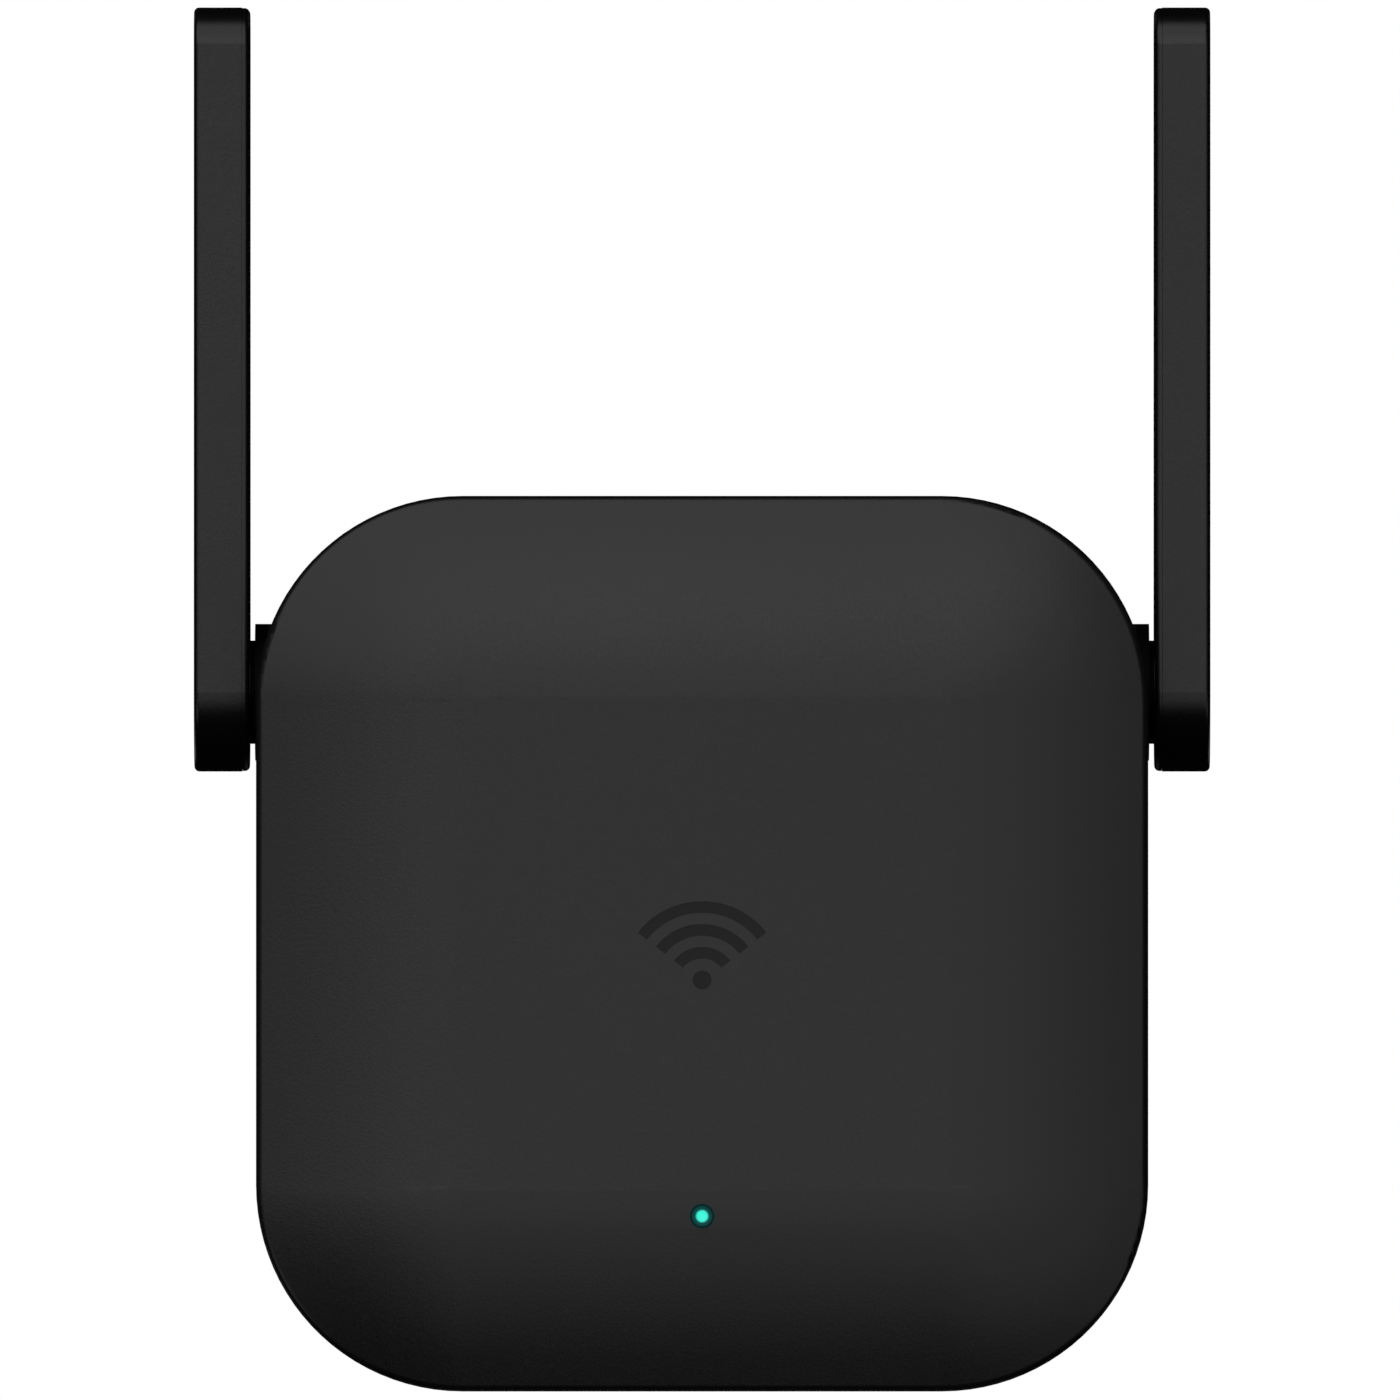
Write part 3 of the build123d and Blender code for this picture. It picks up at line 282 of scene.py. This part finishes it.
def cover_finish():
    look = moulded("cover_plastic", rgb=(0.0092, 0.0092, 0.0096), rough=0.325)
    x, y, z = look.xyz()
    # the floor of the recessed signal mark is darker than the face round it
    mark = look.inside(x=(-8.0, 8.0), y=(-45.96, -45.5), z=(-5.2, 5.2), soft=0.02)
    # painted shade: the hinge bosses are painted near black and matt where they sit deep beside the
    # body, as is the collar that turns beside them
    boss_shade = look.times(look.step(look.distance(x), off=38.9, on=39.2),
                      look.step(look.radius(**HINGE), off=6.3, on=6.2))
    # painted shade: the rounded rim is painted darker and duller where it turns away from the front
    normal = look.node("NewGeometry").outputs["Normal"]
    front = look.times(look.node("SeparateXYZ", {0: normal}).outputs[1], -1.0)
    turning = look.times(look.step(front, off=0.02, on=0.05),
                         look.step(front, off=0.60, on=0.50))
    rim_depth = look.times(look.step(y, off=-44.9, on=-44.7),
                           look.step(y, off=-41.8, on=-42.0))
    rim_shade = look.times(turning, rim_depth)
    # painted shade laid on the rounded rim
    look.paint(rim_shade, rgb=(0.004, 0.004, 0.0042), rough=0.5, specular=0.12)
    look.paint(mark, rgb=(0.005, 0.005, 0.0053), rough=0.31, specular=0.27)
    look.paint(boss_shade, **HINGE_PAINTED_SHADE)
    return look


def antenna_finish():
    look = moulded("antenna_plastic", rgb=(0.0040, 0.0040, 0.0043), rough=0.315, sheen_cell=22.0)
    x = look.xyz()[0]
    # painted shade: the collar that turns in the hinge boss is painted near black and matt
    collar_shade = look.step(look.distance(x), off=40.675, on=40.655)
    look.paint(collar_shade, **HINGE_PAINTED_SHADE)
    return look


def pin_finish():
    """Turned and nickel-plated brass: fine rings round the pin, faint scratches along it."""
    look = metal("pin_metal", rgb=(0.74, 0.70, 0.63), rough=0.20,
                 cell=0.12, stretch=(0.15, 1.0, 0.15), depth=0.0012)
    scratch = look.noise(cell=0.10, rough=0.6, vector=look.stretched((1.0, 0.04, 1.0)))
    worn = look.step(scratch, off=0.60, on=0.68)
    added_rough = look.times(worn, 0.16)
    look.set(Roughness=look.math("ADD", look.current("Roughness"), added_rough))
    return look


def light_finish():
    """Clear acrylic pipe: a bright core over the diode, a dim ring round it, a dark edge."""
    look = Look("light_pipe_clear")
    from_axis = look.radius(**LIGHT)
    core = look.step(from_axis, off=0.66, on=0.40)
    ring = look.step(from_axis, off=1.02, on=0.72)
    mottled = look.noise(cell=0.3)
    edge_rgb, ring_rgb, core_rgb = (0.001, 0.018, 0.020), (0.003, 0.055, 0.052), (0.045, 0.90, 0.70)
    look.set(
        Base_Color=(0.002, 0.010, 0.009),
        Roughness=0.25,
        IOR=1.49,
        Specular_IOR_Level=look.blend(core, 0.06, 0.2),
        Emission_Color=look.mix(core, look.mix(ring, edge_rgb, ring_rgb), core_rgb),
        Emission_Strength=look.vary(mottled, middle=1.0, by=0.07),
    )
    look.set_bump(mottled, depth=0.004)
    return look


def led_finish():
    """Pale package with a glowing lens."""
    look = Look("led_package")
    lens = look.inside(x=(-0.55, 0.55), y=(-39.0, -38.33), z=(-24.8, -24.0))
    cloud = look.noise(cell=0.4)
    package_rgb = look.mix(cloud, (0.78, 0.78, 0.74), (0.9, 0.9, 0.86))
    lens_rgb = (0.85, 0.9, 0.6)
    look.set(
        Base_Color=look.mix(lens, package_rgb, lens_rgb),
        Roughness=0.35,
        Emission_Color=GLOW_MATERIAL,
        Emission_Strength=look.times(lens, 2.0),
    )
    look.set_bump(cloud, depth=0.004)
    return look


def chip_finish():
    """Moulded epoxy with tinned leads low against the boards."""
    look = plain("chip_epoxy", rgb=(0.018, 0.018, 0.02), rough=0.52, cell=0.12, depth=0.004)
    x, y, z = look.xyz()
    front_leads = look.times(
        look.inside(y=(-38.55, -37.9)),
        look.step(look.distance(x), off=2.0, on=2.1),
        look.step(z, off=1.0, on=0.9),
    )
    rear_low = look.times(look.inside(y=(-23.16, -22.7)), look.step(z, off=-24.5, on=-24.7))
    from_chip = look.distance(look.math("ADD", x, 12.0))  # the rear chip is centred at x = -12
    rear_leads = look.times(rear_low, look.step(from_chip, off=2.0, on=2.1))
    lead = look.math("MAXIMUM", front_leads, rear_leads)
    look.paint(lead, rgb=(0.62, 0.62, 0.6))
    look.set(Metallic=lead)
    return look


def can_finish():
    """Electrolytic can: dark sleeve with a pale stripe, bare aluminium top at the front."""
    look = plain("can_sleeve", rgb=(0.012, 0.02, 0.05), rough=0.32, cell=0.25, depth=0.004)
    x, y, z = look.xyz()
    top = look.step(y, off=-34.0, on=-34.4)
    from_stripe = look.distance(look.math("ADD", x, 25.2))  # the stripe runs along x = -25.2
    stripe_strength = 1.0
    stripe = look.times(look.step(from_stripe, off=0.7, on=0.5), stripe_strength)
    look.paint(stripe, rgb=(0.45, 0.47, 0.5))
    look.paint(top, rgb=(0.72, 0.72, 0.73))
    look.set(Metallic=top)
    return look


def label_finish():
    """Blank satin film with a hairline printed border and fine film grain."""
    half_width, bottom, top = 21.6, -30.1, -13.9
    line_width = 0.25
    look = plain("label_film", rgb=(0.016, 0.016, 0.017), rough=0.38,
                 cell=0.3, depth=0.003, specular=0.45)
    outer, inner = (
        look.inside(x=(inset - half_width, half_width - inset),
                    z=(bottom + inset, top - inset), soft=0.03)
        for inset in (0.0, line_width)
    )
    line = look.math("SUBTRACT", outer, inner, clamp=True)
    look.paint(line, rgb=(0.20, 0.20, 0.21))
    return look


def winding_finish():
    """Yellow polyester tape in overlapping turns."""
    look = plain("winding_tape", rgb=(0.70, 0.47, 0.04), rough=0.30, depth=None, coat=0.3)
    tape_width = 1.4
    turn = look.math("PINGPONG", look.xyz()[1], tape_width)
    look.set_bump(look.step(turn, off=0.0, on=0.12), depth=0.06)
    return look


def wire_finish():
    """Enamelled copper wound in close turns along y."""
    look = metal("enamelled_wire", rgb=(0.55, 0.20, 0.07), rough=0.28, depth=None)
    pitch = 0.32
    look.set_bump(look.wave(look.xyz()[1], rate=2 * math.pi / pitch), depth=0.08)
    return look


LOOKS = (
    cover_finish(),
    antenna_finish(),
    moulded("plug_plastic", rgb=(0.013, 0.013, 0.0134), rough=0.36, grain=0.30, depth=0.004),
    moulded("sleeve_plastic", rgb=(0.010, 0.010, 0.0104), rough=0.27, grain=0.4, depth=0.001),
    pin_finish(),
    light_finish(),
    led_finish(),
    laminate("board_laminate", rgb=(0.012, 0.085, 0.04), track_cell=2.4),
    laminate("antenna_laminate", rgb=(0.01, 0.06, 0.03), track_cell=3.5),
    metal("copper_foil", rgb=(0.80, 0.40, 0.24), rough=0.30),
    chip_finish(),
    metal("tinned_steel", rgb=(0.62, 0.62, 0.60), rough=0.30, cell=0.4, stretch=(1, 1, 0.08)),
    plain("thermal_gel", rgb=(0.40, 0.42, 0.46), rough=0.65, cell=0.3, depth=0.02),
    plain("ferrite", rgb=(0.035, 0.035, 0.038), rough=0.48, cell=0.2, depth=0.015),
    plain("capacitor_ceramic", rgb=(0.38, 0.25, 0.14), rough=0.45, cell=0.15),
    plain("disc_epoxy", rgb=(0.02, 0.09, 0.33), rough=0.30, cell=0.8, depth=0.03, coat=0.4),
    can_finish(),
    plain("bobbin_plastic", rgb=(0.03, 0.03, 0.033), rough=0.45, cell=0.25),
    winding_finish(),
    wire_finish(),
    plain("resistor_body", rgb=(0.13, 0.24, 0.17), rough=0.5, cell=0.3, depth=0.015),
    metal("screw_steel", rgb=(0.56, 0.56, 0.57), rough=0.26),
    metal("spring_steel", rgb=(0.34, 0.34, 0.35), rough=0.32),
    plain("cable_jacket", rgb=(0.12, 0.12, 0.125), rough=0.42, cell=0.3, depth=0.003),
    plain("header_plastic", rgb=(0.014, 0.014, 0.015), rough=0.42, cell=0.25),
    metal("contact_gold", rgb=(0.86, 0.62, 0.26), rough=0.22),
    metal("solder", rgb=(0.68, 0.68, 0.70), rough=0.18, cell=0.8),
    plain("insulation_film", rgb=(0.72, 0.72, 0.66), rough=0.22, cell=1.5, depth=0.01),
    label_finish(),
    plain("button_plastic", rgb=(0.06, 0.06, 0.065), rough=0.40, cell=0.25),
    plain("switch_plastic", rgb=(0.03, 0.03, 0.033), rough=0.42, cell=0.25),
)
MATERIALS = {look.name: look.material for look in LOOKS}
for name, obj in NODES.items():
    obj.data.materials.clear()
    obj.data.materials.append(MATERIALS[SLOT_OF[name]])

# ------------------------------------------------------------------ camera
LENS, SENSOR = 1400.0, 36.0  # millimetres
VIEW_WIDTH = 0.12551  # width in view at the front cover's rim
AIM = Vector((-0.00019, -0.0436, 0.02185))


def add_camera():
    """A long lens straight in front, level with its aim."""
    data = bpy.data.cameras.new("camera")
    data.lens, data.sensor_width = LENS, SENSOR
    data.clip_start, data.clip_end = 0.05, 30.0
    obj = bpy.data.objects.new("camera", data)
    SCENE.collection.objects.link(obj)
    obj.location = AIM + Vector((0, -VIEW_WIDTH / SENSOR * LENS, 0))
    obj.rotation_euler = (math.pi / 2, 0, 0)
    SCENE.camera = obj
    return obj


# ------------------------------------------------------------------ floor and world
FLOOR_RADIUS = 0.9
FLOOR_GAP = 0.0003  # below the object
WHITE = (1, 1, 1)


def floor_material():
    """Pale, fading to white far out and at a flat view, and clear from below."""
    material = bpy.data.materials.new("floor")
    graph = Graph(material)
    pale = graph.node("BsdfDiffuse", {"Color": (0.82, 0.82, 0.82)}).outputs[0]
    white = graph.node("Emission", {"Color": WHITE, "Strength": 1.0}).outputs[0]
    place = graph.node("TexCoord").outputs["Object"]
    from_centre = graph.node("VectorMath", {0: place}, operation="LENGTH").outputs["Value"]
    far = graph.step(from_centre, off=0.12, on=0.5)
    facing = graph.node("LayerWeight", {"Blend": 0.5}).outputs["Facing"]
    flat_view = graph.step(facing, off=0.80, on=0.96)
    above = graph.mix_shader(graph.math("MAXIMUM", far, flat_view), pale, white)
    backfacing = graph.node("NewGeometry").outputs["Backfacing"]
    clear = graph.node("BsdfTransparent").outputs[0]
    surface = graph.mix_shader(backfacing, above, clear)
    graph.node("OutputMaterial", {"Surface": surface})
    return material


def add_floor():
    """A disc that only the camera sees."""
    bpy.ops.mesh.primitive_circle_add(vertices=96, radius=FLOOR_RADIUS, fill_type="NGON")
    obj = bpy.context.object
    obj.name = "floor"
    obj.location = (0, (CAD_LOW.y + CAD_HIGH.y) / 2, CAD_LOW.z - FLOOR_GAP)
    obj.data.materials.append(floor_material())
    obj.visible_diffuse = False
    obj.visible_glossy = False
    obj.visible_transmission = False
    return obj


def add_world():
    """White where the camera looks past the object, very dim for all that the object reflects."""
    world = bpy.data.worlds.new("world")
    SCENE.world = world
    graph = Graph(world)
    seen = graph.node("Background", {"Color": WHITE}).outputs[0]
    dim = graph.node("Background", {"Color": WHITE, "Strength": 0.004}).outputs[0]
    camera_ray = graph.node("LightPath").outputs["Is Camera Ray"]
    graph.node("OutputWorld", {"Surface": graph.mix_shader(camera_ray, dim, seen)})


camera = add_camera()
floor = add_floor()
add_world()
SCENE.view_settings.view_transform = "Standard"
SCENE.view_settings.look = "None"


# ------------------------------------------------------------------ lights
def toward(right, up):
    """Unit vector right and up (degrees) of the viewer at the front; x right, y up, z to viewer."""
    azimuth, height = math.radians(right), math.radians(up)
    return Vector((math.sin(azimuth) * math.cos(height), math.sin(height),
                   math.cos(azimuth) * math.cos(height)))


def sun(name, right, up, spread, strength, receivers, follow):
    """A broad soft source that keeps its place beside the camera, or else beside the object."""
    data = bpy.data.lights.new(name, "SUN")
    data.angle = math.radians(spread)
    data.energy = strength
    obj = bpy.data.objects.new(name, data)
    SCENE.collection.objects.link(obj)
    direction = toward(right, up)
    if follow:
        obj.parent = camera
    else:
        direction = Vector((direction.x, -direction.z, direction.y))
    obj.rotation_mode = "QUATERNION"
    obj.rotation_quaternion = direction.to_track_quat("Z", "Y")
    obj.light_linking.receiver_collection = receivers


def group(name, objects):
    collection = bpy.data.collections.new(name)
    for obj in objects:
        collection.objects.link(obj)
    return collection


METALS = ("pin_metal", "tinned_steel", "screw_steel", "spring_steel", "solder", "contact_gold",
          "copper_foil")
lit = group("lit_object", NODES.values())
lit_metal = group("lit_metal", [obj for name, obj in NODES.items() if SLOT_OF[name] in METALS])
lit_floor = group("lit_floor", [floor])
lit_rear = group("lit_rear", [NODES["rear_cover"]])
lit_under = group("lit_under", [NODES[name] for name in
                                ("rear_cover", "front_cover", "reset_button")])

# degrees right, strength of the low fill, strength of the high fill
FILLS = ((-46, 0.086, 0.008), (46, 0.086, 0.008), (-135, 0.092, 0.016), (135, 0.092, 0.016))
FILL_UP, FILL_SPREAD = 20.0, 23.0

# name, degrees right, degrees up, spread in degrees, strength, receivers, follows the camera
SUNS = [
    ("key", -18.6, 34.2, 72.0, 1.10, lit, True),
    ("key_low", 11.0, -0.2, 43.6, 0.25, lit, True),
]
for right, low_power, high_power in FILLS:
    SUNS += [
        (f"low_fill_{right}", right, -FILL_UP, FILL_SPREAD, low_power, lit, False),
        (f"high_fill_{right}", right, FILL_UP, FILL_SPREAD, high_power, lit, False),
    ]
SUNS += [
    ("under_front", 0.0, -45.0, 50.0, 0.10, lit_rear, False),
    ("under_back", 180.0, -40.0, 44.0, 0.13, lit_under, False),
    ("metal_upper", 35.0, 40.0, 95.0, 1.3, lit_metal, True),
    ("metal_lower", -60.0, -15.0, 50.0, 0.25, lit_metal, True),
    ("floor_light", -30.0, 72.0, 70.0, 3.5, lit_floor, False),
]
for entry in SUNS:
    sun(*entry)
